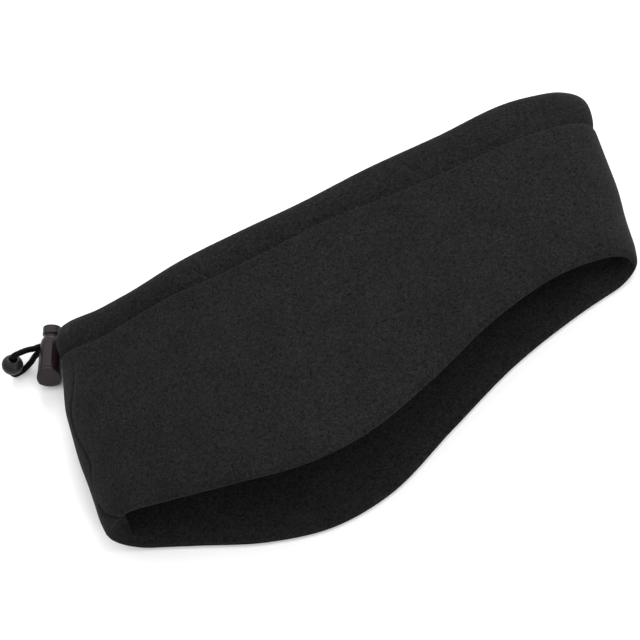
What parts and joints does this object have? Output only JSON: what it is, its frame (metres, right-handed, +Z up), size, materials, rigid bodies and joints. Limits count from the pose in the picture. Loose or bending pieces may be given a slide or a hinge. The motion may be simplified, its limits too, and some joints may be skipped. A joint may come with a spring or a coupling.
{
  "type": "ear warmer headband",
  "caption": "Stretchy fleece ear warmer headband, contoured to cover the ears, with a drawcord in its top edge, a push-button cord lock and a bead on the cord loop.",
  "frame": {"origin": "middle of the band's footprint, on the surface that it lies on", "axes": "+X from the nape fold to the forehead fold, +Y from the mouth edge to the top edge with the drawcord, +Z up from the surface"},
  "size_m": [0.2775, 0.1384, 0.0448],
  "materials": {
    "fleece": "brushed fleece, matte",
    "elastic_cord": "braided, matte",
    "lock_plastic": "satin moulded",
    "bead_plastic": "satin moulded"
  },
  "bodies": {
    "band": {"fleece_band": "fleece", "drawcord_run": "elastic_cord", "drawcord_loop": "elastic_cord", "lock_barrel": "lock_plastic", "cord_bead": "bead_plastic"},
    "plunger": {"lock_plunger": "lock_plastic"}
  },
  "joints": [
    {"name": "plunger_press", "type": "slide", "parent": "band", "child": "plunger", "axis": [-0.3746, -0.9272, 0], "range_m": [0, 0.0012], "stiffness_N_per_m": 1000, "springref_m": -0.002}
  ]
}
